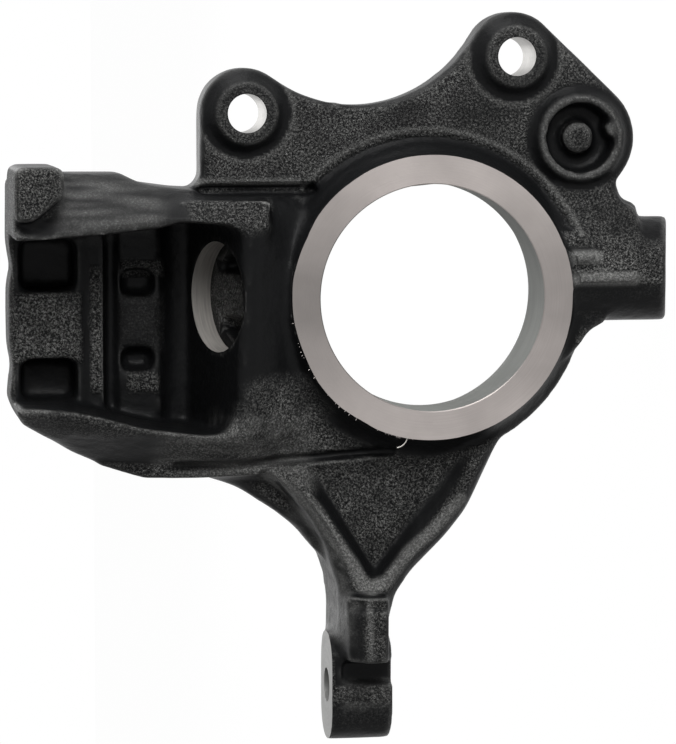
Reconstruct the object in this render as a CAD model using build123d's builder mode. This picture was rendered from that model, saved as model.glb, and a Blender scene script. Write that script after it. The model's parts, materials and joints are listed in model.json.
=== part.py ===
from build123d import *
import os
from math import acos, atan2, cos, degrees, hypot, radians, sin

# Steering knuckle, cast in one piece and machined at its seats and holes. Millimetres.
# X points forward to the caliper ears, Y outboard along the wheel axis, Z up to the strut seat.
# The machined hub face lies in the plane Y = 0, and the wheel axis is the Y axis.
# Below, down is along -Z and fore along +X. A drop is outboard of the hub face, and a rise inboard of it.
# Sketches on FACE look at the hub face, with (down, fore) points.
FACE = Plane(origin=(0, 0, 0), x_dir=(0, 0, -1), z_dir=(0, -1, 0))
# Sketches on SIDE look along the steering arm, with (down, rise) points.
SIDE = Plane(origin=(0, 0, 0), x_dir=(0, 0, -1), z_dir=(-1, 0, 0))
# Sketches on END look down the strut seat, with (fore, rise) points.
END = Plane(origin=(0, 0, 0), x_dir=(1, 0, 0), z_dir=(0, 0, -1))
# Cuts and trims reach past the whole casting, and a cut starts this far outside what it cuts.
reach = 200.0
cut_lead = 2.0

# Hub ring
bore_r = 41.0
seat_length = 23.0
relief_step = 2.2
ring_wall = 10.7
ring_land = 1.5
ring_flare = 8.0
flare_r = 18.0
hub_depth = 36.7
hub_back_wall = 12.0
relief_r = bore_r + relief_step
ring_r = bore_r + ring_wall
ring_root_r = ring_r + ring_flare

# Ear plate with its two caliper ears and the blind cup boss
plate_drop = 12.0
plate_thickness = 16.0
plate_round = 3.0
upper_ear = (-66.3, 66.3)
lower_ear = (32.2, 86.6)
ear_r = 16.4
ear_hole_r = 7.0
ear_seat_wall = 4.0
ear_cone = 3.4
ear_rise = 4.2
ear_back_wall = 6.0
ear_back_rise = 2.0
ear_hollow_r = 50.8
plate_foot = 37.0
plate_step = 6.0
corner_round = 4.0
cup_at = (56.2, 57.2)
cup_recess_r = 12.6
cup_wall = 2.8
cup_cone = 2.8
cup_margin = 3.2
cup_rise = 4.4
cup_recess_depth = 10.5
nub_r = 5.8
nub_height = 6.4
pip_size = (5.5, 4.6)
pip_angle = 15.0
pip_rise = 0.6
cup_tail_angle = -40.0
plate_tail = [(70.7, 41.0), (73.0, 35.0), (78.4, 33.0), (80.0, 26.5), (76.0, 17.0)]
tail_round = 1.5
shelf_fore = 12.5
plate_back = plate_drop + plate_thickness
ear_seat_r = ear_hole_r + ear_seat_wall
cup_top_r = cup_recess_r + cup_wall
cup_root_r = cup_top_r + cup_cone
cup_outline_r = cup_root_r + cup_margin

# Lower boss for the ball joint
stub_r = 19.3
stub_fore = 8.8
stub_drop = 21.0
stub_lap = 5.7
stub_end = 91.8
stub_end_tilt = 15.0
stub_foot = [(36, 8), (70, 8), (66, -10.4), (60.5, -13.4), (56.4, -19), (46, -28), (20, -20)]
stub_foot_depth = 24.0
gusset_outline = [
    (44, 12), (44, 43), (66, 43), (69.6, 39.5), (72, 33.6),
    (77, 31.8), (78.6, 26.5), (74.6, 15), (74.6, 12),
]
gusset_section = [(8, -1.9), (14, -2.6), (42, -12), (44, -12.5), (44, -26), (8, -26)]
ridge_fore = 6.5
ridge_width = 4.5
ridge_end = 76.0
ridge_stand = 1.2
ball_bore_r = 9.0
ball_bore_depth = 30.0
end_round = 1.2
stub_start = ring_r - stub_lap
stub_foot_drop = stub_drop - stub_foot_depth / 2
ridge_drop = stub_drop - stub_r - ridge_stand

# Strut seat: an open trough that leans inboard at its top, given by four (fore, rise) sections
top_end = -151.5
foot_end = -66.0
ring_end = -50.0
skirt_end = -30.0
end_notch = 1.4
end_slope = 2.5
end_trim = 4.0
lug_fore = 48.4
top_section = [
    (25, 18), (47, -5), (52, -20), (46, -34), (30, -38),
    (-34, -38), (-52, -30), (-58, -16), (-38.5, 17.5),
]
foot_section = [
    (29, 10), (37, 1), (42, -14), (42, -32), (30, -41),
    (-48, -41), (-68, -32), (-68, -16), (-49, 3),
]
ring_section = [
    (24, -5), (33, -8), (37, -14), (37, -28), (30, -34),
    (-48, -34), (-60, -30), (-60, -17), (-46, -8),
]
skirt_section = [
    (24, -15), (33, -15), (37, -18), (37, -28), (30, -34),
    (-46, -34), (-56, -30), (-56, -20), (-44, -15),
]
# The same seat's outline as the hub face sees it: the fore wall, the notched top end and the rear wall
seat_outline = [
    (skirt_end, 37),
    (-92, 40),
    (-105, 41.8),
    (-112, 45.4),
    (-138, 45.4),
    (top_end, 43),
    (top_end, 20),
    (top_end + end_notch, 11),
    (top_end, 4),
    (top_end, -16),
    (top_end + end_notch, -24),
    (top_end, -36),
    (top_end + end_slope, -42),
    (-131, -53.6),
    (-116, -61),
    (-104, -64.2),
    (-84, -65),
    (-60, -65.5),
    (skirt_end, -58),
]
lug_outline = [(top_end, 28.2), (top_end, lug_fore), (-134, lug_fore), (-134, 38), (-144.5, 29.5)]
lug_rise = 21.0
lug_depth = 45.0
lug_round = 3.0
ledge_outline = [(-92, 28.5), (-92, 36.4), (-59.5, 35.6), (-59.5, 24), (-70, 27)]
ledge_rise = 7.0
flange_outline = [
    (-120, -56), (-104, -60), (-60, -60), (-62, -64.4),
    (-84, -65.4), (-104, -64.6), (-120, -59.6),
]
flange_drop = 10.0
flange_depth = 10.0
saddle_outline = [(-64, -20), (-64, -61), (-20, -64), (16, -58), (31, -46), (0, -30)]
saddle_drop = 14.0
saddle_depth = 18.0

# The trough's mouth, its stepped floor as (down, rise) points, and four pockets as (down, fore, rise)
mouth_out = top_end - 8.5
mouth_foot = -68.5
mouth_outline = [
    (mouth_out, 22),
    (-124, 23.5),
    (-99.6, 26),
    (-92, 28),
    (-73, 26.9),
    (mouth_foot, 20),
    (mouth_foot, -40),
    (-73, -46),
    (-80, -48),
    (-98, -45.8),
    (-107, -43.9),
    (-121, -39.7),
    (-132, -37),
    (mouth_out, -35),
]
mouth_round = 5.0
floor_profile = [
    (mouth_out, -15),
    (-126, -18),
    (-123, -20.5),
    (-117, -20.5),
    (-115.5, -31),
    (-112, -31),
    (-110.5, -28),
    (-96, -28),
    (-93, -34),
    (-84.8, -35),
    (-68, 12),
    (-68, reach),
    (mouth_out, reach),
]
pockets = [
    ((-147, -127), (3, 21.5), -32),
    ((-147, -127), (-37, -22), -32),
    ((-110, -98), (0.2, 9.6), -34.5),
    ((-110, -98), (-27, -19.2), -34.5),
]
# The strut's spigot hole is bored square to the leaning wall at the trough's foot.
hole_r = 20.0
hole_at = (-77.0, 0.4)
hole_drop = 13.0
hole_lean = 20.0
hole_length = 8.0
blind_step = 5.0
blind_depth = 5.0
blind_bar = 16.5

# Steering arm with its ribbed panel, front block and tie rod eye
arm_drop = 7.0
arm_depth = 29.0
arm_draft = 5.0
rib_slope = 45.0
rib_height = 5.0
arm_round = 5.0
arm_outline = [
    (-66, -61.5),
    (-58.5, -66.5),
    (-51, -74.2),
    (-43.5, -84.2),
    (-39, -92),
    (-35, -104.8),
    (-34, -114),
    (-34.5, -136),
    (-13.5, -136),
    (-12, -120),
    (-9.5, -110),
    (-4, -102.6),
    (9, -89.6),
    (17, -79.6),
    (22.5, -68),
    (30, -52),
    (30, -46),
    (13, -51.5),
    (-43.8, -58.5),
]
panel_rim = [(-52, -61.5), (-39.5, -76), (-20.7, -104.5), (1.5, -84), (12, -72.5), (20, -54)]
panel_floor = [(-42.6, -62.6), (-34.5, -75.4), (-18.8, -101.5), (-2.5, -77.5), (4.5, -66.5), (12.8, -53.6)]
panel_depth = 8.0
web_outline = [(-96, -60), (-84, -65), (-68, -70.5), (-48.5, -84), (-39.5, -94), (-30, -104), (-10, -60)]
web_drop = 22.0
web_depth = 12.0
eye_down = -35.2
eye_width = 22.6
eye_fore = -144.2
eye_height = 40.0
eye_depth = 26.5
eye_drop = 10.0
eye_flat = 1.25
tie_hole_r = 6.3
block_section = [(-32.6, -15), (-30.2, -3), (-23.8, 2), (-16, 1), (-14.4, -15)]
block_fore = -108.6
block_length = 24.2
eye_at = (eye_fore, -eye_drop - eye_depth / 2)


def face_block(points, drop, depth, hollow=0.0, corner=0.0, taper=0.0):
    """A prism seen from the hub face, its front at this drop, with rounded hollows and corners."""
    with BuildPart() as block:
        with BuildSketch(FACE.offset(-drop - depth)):
            with BuildLine():
                Polyline(points, close=True)
            make_face()
            if hollow:
                offset(amount=hollow, kind=Kind.ARC)
                offset(amount=-hollow, kind=Kind.ARC)
            if corner:
                offset(amount=-corner, kind=Kind.ARC)
                offset(amount=corner, kind=Kind.ARC)
        extrude(amount=depth, taper=taper)
    return block.part


def polar(centre, radius, angle):
    """The point at this radius and angle from a centre."""
    return centre[0] + radius * cos(radians(angle)), centre[1] + radius * sin(radians(angle))


def box_points(down, fore):
    """The four corners of a rectangle from its two spans."""
    return [(down[0], fore[0]), (down[1], fore[0]), (down[1], fore[1]), (down[0], fore[1])]


# The hub ring is turned about the wheel axis: a machined face and a flared outside. Its bore is cut last.
with BuildPart() as hub_ring:
    with BuildSketch(SIDE):
        with BuildLine():
            flare_start = (ring_r, -ring_land)
            flare_end = (ring_root_r, -plate_drop - ring_land)
            Polyline((0, -hub_depth), (0, 0), (ring_r, 0), flare_start)
            RadiusArc(flare_start, flare_end, -flare_r)
            Polyline(
                flare_end,
                (ring_root_r, -plate_back),
                (relief_r + hub_back_wall, -hub_depth),
                (0, -hub_depth),
            )
        make_face()
    revolve(axis=Axis.Y)

# The ear plate: two round ears, a hollow sweep between them, and a tail down to the lower boss.
# The angles are those at which its arcs touch one another and the straight edge beside the cup.
plate_left = upper_ear[0] - ear_r
plate_start = plate_left - 2 * plate_step
ear_gap = hypot(lower_ear[0] - upper_ear[0], lower_ear[1] - upper_ear[1])
ear_line = degrees(atan2(lower_ear[1] - upper_ear[1], lower_ear[0] - upper_ear[0]))
hollow_lift = degrees(acos(ear_gap / 2 / (ear_r + ear_hollow_r)))
upper_turn = ear_line + hollow_lift
lower_turn = ear_line + 180 - hollow_lift
cup_gap = hypot(cup_at[0] - lower_ear[0], cup_at[1] - lower_ear[1])
cup_line = degrees(atan2(cup_at[1] - lower_ear[1], cup_at[0] - lower_ear[0]))
cup_turn = cup_line + degrees(acos((ear_r - cup_outline_r) / cup_gap))
hollow_at = polar(upper_ear, ear_r + ear_hollow_r, upper_turn)
plate_corner = (plate_left, plate_foot + plate_step)
cup_tail = polar(cup_at, cup_outline_r, cup_tail_angle)

with BuildPart() as ear_plate:
    with BuildSketch(FACE.offset(-plate_back)) as plate_outline:
        with BuildLine():
            Polyline(
                (plate_start, 0),
                (plate_start, plate_foot),
                (plate_left - plate_step, plate_foot),
                plate_corner,
                (plate_left, upper_ear[1]),
            )
            CenterArc(upper_ear, ear_r, 180, upper_turn - 180)
            hollow_start = polar(upper_ear, ear_r, upper_turn)
            hollow_end = polar(lower_ear, ear_r, lower_turn)
            ThreePointArc(hollow_start, polar(hollow_at, ear_hollow_r, ear_line - 90), hollow_end)
            CenterArc(lower_ear, ear_r, lower_turn, cup_turn - lower_turn)
            Line(polar(lower_ear, ear_r, cup_turn), polar(cup_at, cup_outline_r, cup_turn))
            CenterArc(cup_at, cup_outline_r, cup_turn, cup_tail_angle - cup_turn)
            Polyline(cup_tail, *plate_tail, (plate_tail[-1][0], shelf_fore), (0, 0), (plate_start, 0))
        make_face()
        rounded = [cup_tail, *plate_tail[:3]]
        corners = [plate_outline.vertices().sort_by_distance(corner)[0] for corner in rounded]
        fillet(corners, radius=tail_round)
        fillet(plate_outline.vertices().sort_by_distance(plate_corner)[0], radius=corner_round)
    extrude(amount=plate_thickness)
    front_edges = ear_plate.faces().sort_by(Axis.Y)[0].edges()
    fillet(front_edges.filter_by(lambda edge: (edge @ 0.5).X > plate_foot + cut_lead), radius=plate_round)
    # Each ear has a coned seat on the inboard side and a low pad on the other.
    for ear in (upper_ear, lower_ear):
        with BuildSketch(FACE.offset(-plate_drop)):
            with Locations(ear):
                Circle(ear_seat_r + ear_cone)
        with BuildSketch(FACE.offset(-plate_drop + ear_rise)):
            with Locations(ear):
                Circle(ear_seat_r)
        loft()
        with BuildSketch(FACE.offset(-plate_back - ear_back_rise)):
            with Locations(ear):
                Circle(ear_hole_r + ear_back_wall)
        extrude(amount=ear_back_rise)
    # The blind cup stands proud of the plate, with a flat nub inside and one pip across its wall.
    with BuildSketch(FACE.offset(-plate_drop)):
        with Locations(cup_at):
            Circle(cup_root_r)
    with BuildSketch(FACE.offset(-plate_drop + cup_rise)):
        with Locations(cup_at):
            Circle(cup_top_r)
    loft()
    with BuildSketch(FACE.offset(-plate_drop + cup_rise)):
        with Locations(cup_at):
            Circle(cup_recess_r)
    extrude(amount=-cup_recess_depth, mode=Mode.SUBTRACT)
    with BuildSketch(FACE.offset(-plate_drop + cup_rise - cup_recess_depth)):
        with Locations(cup_at):
            Circle(nub_r)
    extrude(amount=nub_height)
    with BuildSketch(FACE.offset(-plate_drop + cup_rise - cup_recess_depth)):
        with Locations(polar(cup_at, cup_recess_r, pip_angle)):
            Rectangle(*pip_size, rotation=pip_angle)
    extrude(amount=cup_recess_depth + pip_rise)

# A gusset slopes up from the plate to the lower boss. It keeps to the plate's own tail.
with BuildPart() as gusset:
    add(face_block(gusset_outline, 0, plate_back))
    with BuildSketch(END):
        with BuildLine():
            Polyline(gusset_section, close=True)
        make_face()
    extrude(amount=reach, mode=Mode.INTERSECT)

# The lower boss: a round bar pointing down, its curved foot on the ring, and a ridge along its front.
tilt = radians(stub_end_tilt)
with BuildPart() as lower_boss:
    with BuildSketch(END.offset(stub_start)):
        with Locations((stub_fore, -stub_drop)):
            Circle(stub_r)
    extrude(amount=stub_end - stub_start + stub_r)
    end_plane = Plane(
        origin=(stub_fore, stub_drop, -stub_end),
        x_dir=(1, 0, 0),
        z_dir=(0, -sin(tilt), -cos(tilt)),
    )
    split(bisect_by=end_plane, keep=Keep.BOTTOM)
    fillet(lower_boss.faces().sort_by(Axis.Z)[0].edges(), radius=end_round)
    add(face_block(stub_foot, stub_foot_drop, stub_foot_depth, hollow=arm_round))
    add(gusset.part)
    ridge_span = (ridge_fore - ridge_width / 2, ridge_fore + ridge_width / 2)
    add(face_block(box_points((stub_start, ridge_end), ridge_span), ridge_drop, stub_drop - ridge_drop))

# The strut seat's outside: its sections at the top, the foot and the hub ring, trimmed to its outline.
with BuildPart() as strut_seat:
    stations = (top_end - end_trim, foot_end, ring_end, skirt_end)
    for down, section in zip(stations, (top_section, foot_section, ring_section, skirt_section)):
        with BuildSketch(END.offset(down)):
            with BuildLine():
                Polyline(section, close=True)
            make_face()
    loft(ruled=True)
    with BuildSketch(FACE.offset(-reach)):
        with BuildLine():
            Polyline(seat_outline, close=True)
        make_face()
    extrude(amount=2 * reach, mode=Mode.INTERSECT)
    add(face_block(lug_outline, -lug_rise, lug_depth, corner=lug_round))
    add(face_block(ledge_outline, -ledge_rise, ledge_rise + plate_drop + plate_thickness / 2))
    add(face_block(flange_outline, flange_drop, flange_depth))

# The trough: its mouth outline cut down to a stepped floor.
with BuildPart() as trough:
    with BuildSketch(FACE.offset(-reach)):
        with BuildLine():
            Polyline(mouth_outline, close=True)
        make_face()
        offset(amount=-mouth_round, kind=Kind.ARC)
        offset(amount=mouth_round, kind=Kind.ARC)
    extrude(amount=2 * reach)
    with BuildSketch(SIDE.offset(-reach)):
        with BuildLine():
            Polyline(floor_profile, close=True)
        make_face()
    extrude(amount=2 * reach, mode=Mode.INTERSECT)
    for down, fore, pocket_rise in pockets:
        with BuildSketch(FACE.offset(pocket_rise)):
            with BuildLine():
                Polyline(box_points(down, fore), close=True)
            make_face()
        extrude(amount=-pocket_rise)

# The steering arm: a stem with a web, a recessed three-cornered panel, a front block and the tie rod eye.
with BuildPart() as steering_arm:
    stem_drop = arm_drop + rib_height
    add(face_block(arm_outline, stem_drop, arm_depth - rib_height, hollow=arm_round, taper=arm_draft))
    extrude(steering_arm.faces().sort_by(Axis.Y)[0], amount=rib_height, taper=rib_slope)
    for drop, outline in ((arm_drop, panel_rim), (arm_drop + panel_depth, panel_floor)):
        with BuildSketch(FACE.offset(-drop)):
            with BuildLine():
                Polyline(outline, close=True)
            make_face()
    loft(ruled=True, mode=Mode.SUBTRACT)
    add(face_block(web_outline, web_drop, web_depth))
    add(face_block(saddle_outline, saddle_drop, saddle_depth))
    with BuildSketch(END.offset(eye_down)):
        with Locations(eye_at):
            RectangleRounded(eye_height, eye_depth, eye_depth / 2 - eye_flat)
    extrude(amount=eye_width)
    with BuildSketch(SIDE.offset(-block_fore)):
        with BuildLine():
            Polyline(block_section, close=True)
        make_face()
    extrude(amount=block_length)

# The whole casting, then the machined cuts.
with BuildPart() as knuckle:
    for piece in (hub_ring, ear_plate, lower_boss, strut_seat, steering_arm):
        add(piece.part)
    add(trough.part, mode=Mode.SUBTRACT)
    # The hub bore is a seat for the bearing with a wider relief behind it.
    with BuildSketch(SIDE):
        with BuildLine():
            Polyline(
                (0, cut_lead),
                (bore_r, cut_lead),
                (bore_r, -seat_length),
                (relief_r, -seat_length),
                (relief_r, -reach),
                (0, -reach),
                close=True,
            )
        make_face()
    revolve(axis=Axis.Y, mode=Mode.SUBTRACT)
    # The caliper bolt holes run through both ears.
    with BuildSketch(FACE):
        with Locations(upper_ear, lower_ear):
            Circle(ear_hole_r)
    extrude(amount=-reach, mode=Mode.SUBTRACT)
    # The tie rod hole runs through the eye, up and down.
    with BuildSketch(END.offset(eye_down - cut_lead)):
        with Locations(eye_at):
            Circle(tie_hole_r)
    extrude(amount=eye_width + 2 * cut_lead, mode=Mode.SUBTRACT)
    # The ball joint bore is blind, from the lower end of its boss.
    with BuildSketch(END.offset(stub_end - ball_bore_depth)):
        with Locations((stub_fore, -stub_drop)):
            Circle(ball_bore_r)
    extrude(amount=ball_bore_depth + stub_r, mode=Mode.SUBTRACT)
    # Past the machined length of the spigot hole, its blind end is rough, with a bar left across it.
    lean = radians(hole_lean)
    hole_plane = Plane(
        origin=(hole_at[1], hole_drop, -hole_at[0]),
        x_dir=(1, 0, 0),
        z_dir=(0, sin(lean), -cos(lean)),
    )
    with BuildSketch(hole_plane.offset(-hole_length)):
        Circle(hole_r)
    extrude(amount=2 * hole_length, mode=Mode.SUBTRACT)
    with BuildSketch(hole_plane.offset(hole_length)):
        Circle(hole_r - blind_step)
        Rectangle(blind_bar, 2 * hole_r, mode=Mode.SUBTRACT)
    extrude(amount=blind_depth, mode=Mode.SUBTRACT)

knuckle.part.label = "knuckle_casting"
os.makedirs("parts", exist_ok=True)
export_step(knuckle.part, "parts/knuckle_casting.step")
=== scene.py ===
# %% [markdown]
# A steering knuckle as a Blender lesson. The real part is poured in a sand mould, painted black
# and then machined where other parts fit. The scene follows the same order: a rough casting
# first, cutters after it, then paint, bare metal, light and camera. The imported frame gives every
# size, in metres.

# %% Load the frame
import bpy
import bmesh
import json
import random
from math import cos, hypot, pi, radians, sin
from mathutils import Matrix, Vector, noise


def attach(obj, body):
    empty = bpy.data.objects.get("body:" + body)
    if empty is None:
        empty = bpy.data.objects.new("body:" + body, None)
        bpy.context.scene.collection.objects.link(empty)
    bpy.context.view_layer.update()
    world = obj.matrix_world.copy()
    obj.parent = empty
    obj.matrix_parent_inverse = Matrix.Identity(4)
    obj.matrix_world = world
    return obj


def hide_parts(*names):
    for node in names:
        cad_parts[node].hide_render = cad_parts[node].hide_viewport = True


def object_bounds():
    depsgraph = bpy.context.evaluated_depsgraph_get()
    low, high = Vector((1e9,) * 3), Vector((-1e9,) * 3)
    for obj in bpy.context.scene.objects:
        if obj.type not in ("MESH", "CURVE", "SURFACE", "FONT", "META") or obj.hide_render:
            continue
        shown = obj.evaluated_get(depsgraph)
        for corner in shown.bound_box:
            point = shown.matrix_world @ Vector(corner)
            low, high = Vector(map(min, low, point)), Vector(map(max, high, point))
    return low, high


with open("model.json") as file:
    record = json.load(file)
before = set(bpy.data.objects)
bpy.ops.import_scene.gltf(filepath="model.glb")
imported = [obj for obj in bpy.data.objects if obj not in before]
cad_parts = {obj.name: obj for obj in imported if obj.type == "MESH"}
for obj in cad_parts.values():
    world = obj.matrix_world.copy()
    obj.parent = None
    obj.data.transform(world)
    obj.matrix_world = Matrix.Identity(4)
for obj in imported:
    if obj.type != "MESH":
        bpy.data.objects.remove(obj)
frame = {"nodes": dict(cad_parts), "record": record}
cad_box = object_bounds()
NODE = "knuckle_casting"
MM = 0.001
mounts = {mount["name"]: mount for mount in frame["record"]["mounts"]}


def rounded(box):
    """A box's two corners, short enough to print."""
    return [[round(value, 4) for value in corner] for corner in box]


print("CAD box", rounded(cad_box))
print("mounts", sorted(mounts))

# %% [markdown]
# A few small helpers come first. Each makes one thing that the later steps need many times: an
# object from a bmesh, a cylinder, tube or box between two points, and a soft step that runs from
# 0 to 1 between two values. Blender works in metres and a workshop in millimetres, so one helper
# turns one into the other.

# %% Small helpers


def in_mm(*values):
    """Millimetres as metres."""
    return tuple(value * MM for value in values)


def soft_step(low, high, value):
    """0 below low, 1 above high, and a smooth ramp between them."""
    share = min(max((value - low) / (high - low), 0.0), 1.0)
    return share * share * (3 - 2 * share)


def add_object(name, bm):
    """A new object at the origin from a bmesh, which is freed."""
    mesh = bpy.data.meshes.new(name)
    bm.to_mesh(mesh)
    bm.free()
    piece = bpy.data.objects.new(name, mesh)
    bpy.context.scene.collection.objects.link(piece)
    return piece


def add_rod(bm, start, end, radius, end_radius=None, segments=128):
    """A closed cylinder or cone between two points, added to a bmesh."""
    start, end = Vector(start), Vector(end)
    turn = Vector((0, 0, 1)).rotation_difference(end - start).to_matrix().to_4x4()
    return bmesh.ops.create_cone(
        bm,
        cap_ends=True,
        segments=segments,
        radius1=radius,
        radius2=radius if end_radius is None else end_radius,
        depth=(end - start).length,
        matrix=Matrix.Translation((start + end) / 2) @ turn,
    )["verts"]


def add_tube(bm, start, end, inner, outer, segments=128):
    """A closed tube: its section is spun a full turn round the line between two points."""
    start, end = Vector(start), Vector(end)
    axis = (end - start).normalized()
    side = axis.orthogonal().normalized()
    places = [start + side * inner, start + side * outer, end + side * outer, end + side * inner]
    corners = [bm.verts.new(place) for place in places]
    outline = [bm.edges.new(pair) for pair in zip(corners, corners[1:] + corners[:1])]
    spun = bmesh.ops.spin(
        bm,
        geom=corners + outline,
        cent=start,
        axis=axis,
        angle=2 * pi,
        steps=segments,
        use_merge=True,
    )
    print("tube spun,", len(spun["geom_last"]), "parts in its last section")


def add_box(bm, low, high):
    """A closed box between two corners, added to a bmesh."""
    low, high = Vector(low), Vector(high)
    place = Matrix.Translation((low + high) / 2) @ Matrix.Diagonal((*(high - low), 1))
    return bmesh.ops.create_cube(bm, size=1, matrix=place)["verts"]


print("helpers ready")

# %% [markdown]
# Machining stock. A foundry pours a casting oversize wherever it will be cut, so that the cutter
# always finds metal. The copy of the CAD mesh gets the same: a plug in the hub bore that stands
# proud of its face, small plugs in the bolt holes, and a thicker pad on the tie rod eye. Plain
# closed shapes are enough, because the next step melts everything together.

# %% Copy the CAD mesh and add machining stock
hub = mounts["hub_bearing_bore"]
BORE_R = hub["dims"]["r_mm"] * MM
SEAT_LENGTH = hub["dims"]["length_mm"] * MM
RING_R = 51.7 * MM
RELIEF_R = 43.2 * MM
HUB_DEPTH = 36.7 * MM
STOCK = 2.5 * MM
OVERLAP = 1 * MM
MOULD_DRAFT = 0.3 * MM
WELD = 0.002 * MM
TURNED_SIDES = 192
PLUG_SIDES = 48
TIE_PLUG_R = 7.5 * MM
EYE_R = 13.1 * MM
EYE_FLAT = 6.8 * MM
PAD_ROOT = 3 * MM

casting_bm = bmesh.new()
casting_bm.from_mesh(frame["nodes"][NODE].data)
bmesh.ops.remove_doubles(casting_bm, verts=casting_bm.verts, dist=WELD)
add_rod(casting_bm, (0, HUB_DEPTH, 0), (0, 0, 0), RELIEF_R + OVERLAP)
stock_r = RING_R - MOULD_DRAFT
add_rod(casting_bm, (0, OVERLAP, 0), (0, -STOCK, 0), RING_R, stock_r, segments=TURNED_SIDES)

ear_names = ("caliper_hole_upper", "caliper_hole_lower")
for name in ear_names:
    mount = mounts[name]
    mouth = Vector(mount["pos_m"])
    deep = mouth - Vector(mount["axis"]) * mount["dims"]["length_mm"] * MM
    plug_r = mount["dims"]["r_mm"] * MM + OVERLAP
    add_rod(casting_bm, mouth, deep, plug_r, segments=PLUG_SIDES)

tie = mounts["tie_rod_hole"]
tie_at = Vector(tie["pos_m"])
tie_half = tie["dims"]["length_mm"] * MM / 2
EYE_TOP = tie_at.z + tie_half
half_way = Vector((0, 0, tie_half))
add_rod(casting_bm, tie_at - half_way, tie_at + half_way, TIE_PLUG_R, segments=PLUG_SIDES)


def add_eye_pad(bm, foot, head):
    """The eye's outline, a box with two round ends, raised between two heights."""
    for side in (-EYE_FLAT, EYE_FLAT):
        start = Vector((tie_at.x + side, tie_at.y, foot))
        add_rod(bm, start, (start.x, start.y, head), EYE_R, segments=PLUG_SIDES)
    low = (tie_at.x - EYE_FLAT, tie_at.y - EYE_R, foot)
    add_box(bm, low, (tie_at.x + EYE_FLAT, tie_at.y + EYE_R, head))


add_eye_pad(casting_bm, EYE_TOP - PAD_ROOT, EYE_TOP + STOCK)
print("copy with plugs:", len(casting_bm.verts), "points")

# %% [markdown]
# Two kinds of raised mark are too small for the solid model. Low ridges run down the front of the
# lower boss, and a tick of flash, metal that crept between the mould's halves, stands on the rim
# between the ears. They are added as rods and a box half sunk in the copy, so that the melt gives
# them soft feet.

# %% Add the small raised marks
SMALL_SIDES = 24
RIDGE_R = 2.1 * MM
RIDGE_TOP, RIDGE_DEPTHS = -50, (1.3, 1.5)
STUB_RIDGES = ((6.2, -75), (14.2, -60))
FLASH_TICK = Vector(in_mm(69.2, 14, 33.6))
TICK_INNER, TICK_OUTER = Vector(in_mm(3, 1.5, 1)), Vector(in_mm(1.2, 1.5, 1))

for fore, foot in STUB_RIDGES:
    top = in_mm(fore, RIDGE_DEPTHS[0], RIDGE_TOP)
    add_rod(casting_bm, top, in_mm(fore, RIDGE_DEPTHS[1], foot), RIDGE_R, segments=SMALL_SIDES)
add_box(casting_bm, FLASH_TICK - TICK_INNER, FLASH_TICK + TICK_OUTER)
print("raised marks:", len(STUB_RIDGES), "ridges and 1 tick")

# %% [markdown]
# The strut's spigot goes into a hole in the trough's leaning end wall. Its stock is a tube and
# not a plug, so that what the cutter leaves at its far end is a thin painted step, and the hole
# stays open.

# %% Line the leaning hole
SPIGOT_WALL = 3 * MM
spigot = mounts["strut_spigot_hole"]
spigot_at = Vector(spigot["pos_m"])
spigot_axis = Vector(spigot["axis"]).normalized()
spigot_r = spigot["dims"]["r_mm"] * MM
spigot_length = spigot["dims"]["length_mm"] * MM
spigot_end = spigot_at - spigot_axis * (spigot_length - OVERLAP)
add_tube(casting_bm, spigot_at, spigot_end, spigot_r - SPIGOT_WALL, spigot_r + OVERLAP)
print("copy with stock:", len(casting_bm.verts), "points")
casting = add_object("knuckle_cast_body", casting_bm)

# %% [markdown]
# A sand casting has no sharp edge: every corner has a small round, and every hollow corner a
# fillet. A voxel remesh melts the copy and its stock into one even skin, and a few passes of
# smoothing round it all at once. Bevels on each edge would take far longer and would fail where
# walls meet at odd angles.

# %% Melt into one skin
VOXEL = 1.15 * MM
EVERY_AXIS = {"use_axis_x": True, "use_axis_y": True, "use_axis_z": True}


def applied(piece, modifier_type, **settings):
    """Adds a modifier to a piece, applies it and gives the piece back."""
    modifier = piece.modifiers.new(modifier_type.lower(), modifier_type)
    for key, value in settings.items():
        setattr(modifier, key, value)
    bpy.context.view_layer.update()
    graph = bpy.context.evaluated_depsgraph_get()
    mesh = bpy.data.meshes.new_from_object(piece.evaluated_get(graph))
    piece.modifiers.clear()
    piece.data = mesh
    return piece


def smooth(bm, verts, passes):
    """Moves each point half way to the middle of its neighbours, this many times."""
    for _ in range(passes):
        bmesh.ops.smooth_vert(bm, verts=verts, factor=0.5, **EVERY_AXIS)


def in_zone(place, low, high):
    """Whether a place lies in the box between two corners, given in millimetres."""
    return all(low[axis] * MM <= place[axis] <= high[axis] * MM for axis in range(3))


def smooth_zone(bm, low, high, passes, steps=3, shrink=1.5):
    """Smooths the points in a box, then those in smaller ones, so that its border fades."""
    for step in range(steps):
        inner_low = [value + step * shrink for value in low]
        inner_high = [value - step * shrink for value in high]
        smooth(bm, [vert for vert in bm.verts if in_zone(vert.co, inner_low, inner_high)], passes)


def melt(piece):
    """Replaces a piece's mesh by one even, closed skin with no material slot."""
    applied(piece, "REMESH", mode="VOXEL", voxel_size=VOXEL, adaptivity=0)
    piece.data.materials.clear()
    print("melted:", len(piece.data.vertices), "points")


melt(casting)

# %% [markdown]
# Every cut in this scene is made the same way. A closed cutter is built in a bmesh, its faces get
# the material index that the cut should leave behind, and a Boolean takes it out of the piece. A
# rod's two ends are single faces with many sides, so they can be told from its wall and get an
# index of their own.

# %% How a cut is made
QUAD = 4


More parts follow.
